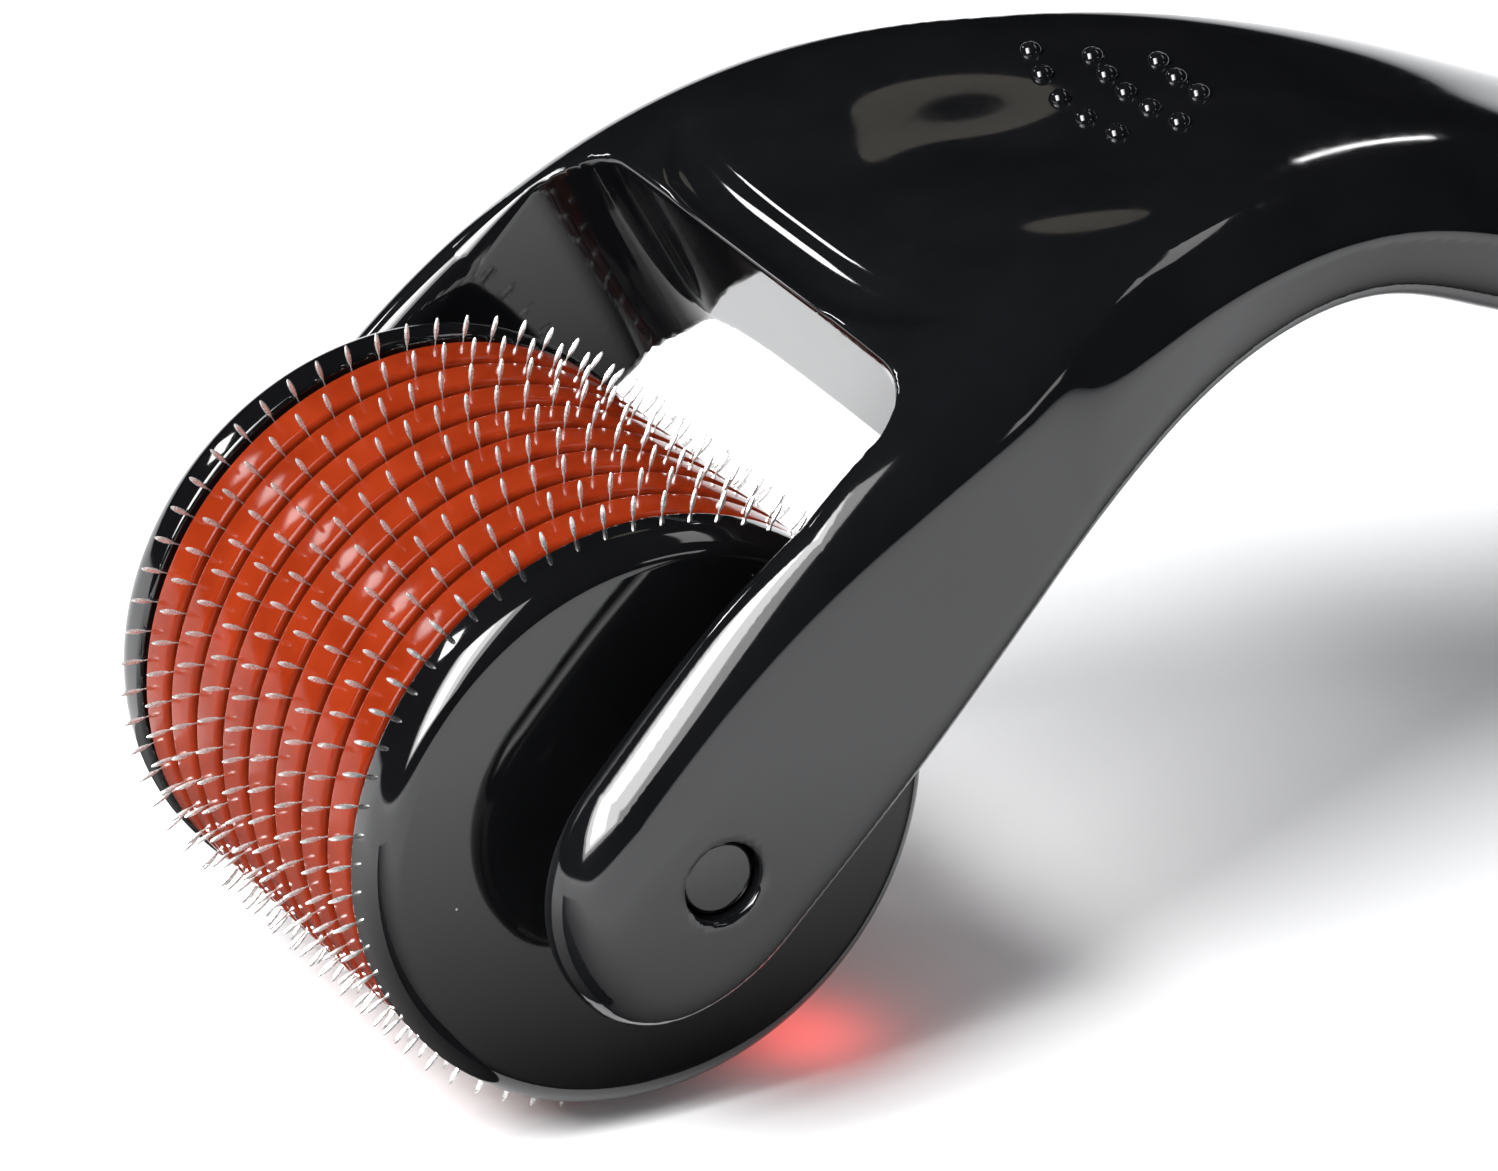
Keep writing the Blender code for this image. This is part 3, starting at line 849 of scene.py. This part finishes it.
def make_all_painted_shade():
    # Painted shade: each card is clear on one side and black on the side toward the object.
    nodes = Nodes("painted_shade_material")
    split = nodes.add("ShaderNodeSeparateXYZ")
    nodes.link(nodes.object_place, split.inputs[0])
    fade = nodes.ranged(split.outputs[1], -0.5, 0.5, 0.0, 1.0)
    nodes.link(nodes.math("POWER", fade, PAINTED_SHADE_FADE), nodes.shader.inputs["Alpha"])
    nodes.set(Roughness=1.0, Specular_IOR_Level=0.0, Base_Color=PAINTED_SHADE_BLACK)
    for card in PAINTED_SHADE_CARDS:
        add_painted_shade_card(*card, nodes.material)


def softbox(name, direction, distance, size, radiance, long_axis=UPRIGHT, colour=WHITE):
    """A rectangular lamp that faces the drum; radiance is what a mirror would show of it."""
    toward = Vector(direction).normalized()
    axis = Vector(long_axis)
    up = (axis - toward * axis.dot(toward)).normalized()
    turn = Matrix((up.cross(toward), up, toward)).transposed().to_4x4()
    data = bpy.data.lights.new(name, "AREA")
    data.shape = "RECTANGLE"
    data.size, data.size_y = size
    data.energy = radiance * math.pi * size[0] * size[1]
    data.color = colour
    lamp = bpy.data.objects.new(name, data)
    bpy.context.scene.collection.objects.link(lamp)
    lamp.matrix_world = Matrix.Translation(DRUM_CENTRE + toward * distance) @ turn
    lamp.visible_camera = False
    return lamp


def make_red_glow():
    """The light that the clear red discs let through onto the floor beside the drum."""
    data = bpy.data.lights.new("red_glow", "AREA")
    data.shape = "ELLIPSE"
    data.size, data.size_y = GLOW_SIZE
    data.energy = GLOW_ENERGY
    data.color = GLOW_COLOUR
    lamp = bpy.data.objects.new("red_glow", data)
    bpy.context.scene.collection.objects.link(lamp)
    lamp.location = DRUM_CENTRE + Vector(GLOW_PLACE) * MM
    lamp.visible_camera = False
    lamp.visible_glossy = False


def make_lights():
    """Lamps that light the scene, and lamps that only show in the polished surfaces."""
    key = softbox("key", (-0.62, -0.165, 0.77), 1.2, (0.7, 0.7), 20.0)
    key.visible_glossy = False
    for strip in WINDOW_STRIPS:
        lamp = softbox(*strip, WINDOW_AXIS)
        lamp.visible_diffuse = False
    softbox("back_left", (-0.40, 0.79, 0.47), 1.2, (0.15, 0.13), 18.0)
    softbox("front_right", (0.50, -0.80, 0.33), 1.0, (0.26, 0.12), 2.5)
    softbox("back_right", (0.65, 0.65, 0.35), 1.2, (0.02, 0.26), 9.0, (0.11, -0.01, -0.19))
    ridge = softbox("ceiling_right", (0.62, 0.0, 0.78), 1.2, (0.2, 0.75), 2.2, (0.0, 1.0, 0.2))
    ridge.visible_diffuse = False
    dim = softbox("ceiling", (0.39, 0.70, 0.60), 1.2, (0.2, 0.12), 0.33, colour=WARM)
    dim.data.shape = "ELLIPSE"
    dim.visible_diffuse = False
    make_red_glow()


def make_sky():
    """A weak even light from all around, which doesn't show in the polished surfaces."""
    world = bpy.data.worlds.new("studio")
    world.use_nodes = True
    background = world.node_tree.nodes["Background"]
    background.inputs["Color"].default_value = SKY_COLOUR
    background.inputs["Strength"].default_value = SKY_STRENGTH
    world.cycles_visibility.glossy = False
    bpy.context.scene.world = world
    bpy.context.scene.view_settings.view_transform = "Standard"


# ---- the whole -------------------------------------------------------------------------------


def build():
    make_camera()
    handle_black = black_gloss("handle_black", (0.0035, 0.0037, 0.0042), (0.005, 0.0052, 0.006))
    cap_black = black_gloss("cap_black", (0.003, 0.0031, 0.0034), (0.0042, 0.0043, 0.0048), 0.03)
    form = HandleForm()
    make_handle(form, handle_black)
    make_dots(form, handle_black)
    # The rings' steel is painted far darker than the needles' steel: painted shade in the grooves
    # between the spacers.
    ring_steel_painted_shade = etched_steel("ring_steel_painted_shade", (0.22, 0.21, 0.2), (0.12, 0.115, 0.11))
    needle_steel = etched_steel("needle_steel", (0.86, 0.85, 0.83), (0.6, 0.59, 0.58))
    make_needle_rows(ring_steel_painted_shade, needle_steel)
    make_spacers(red_translucent())
    make_caps(cap_black)
    core = frame["nodes"]["drum_core"]
    core.data.materials.clear()
    core.data.materials.append(moulded_black())
    make_floor()
    # Painted shade, seen only in the object's reflections.
    make_all_painted_shade()
    make_lights()
    make_sky()


build()
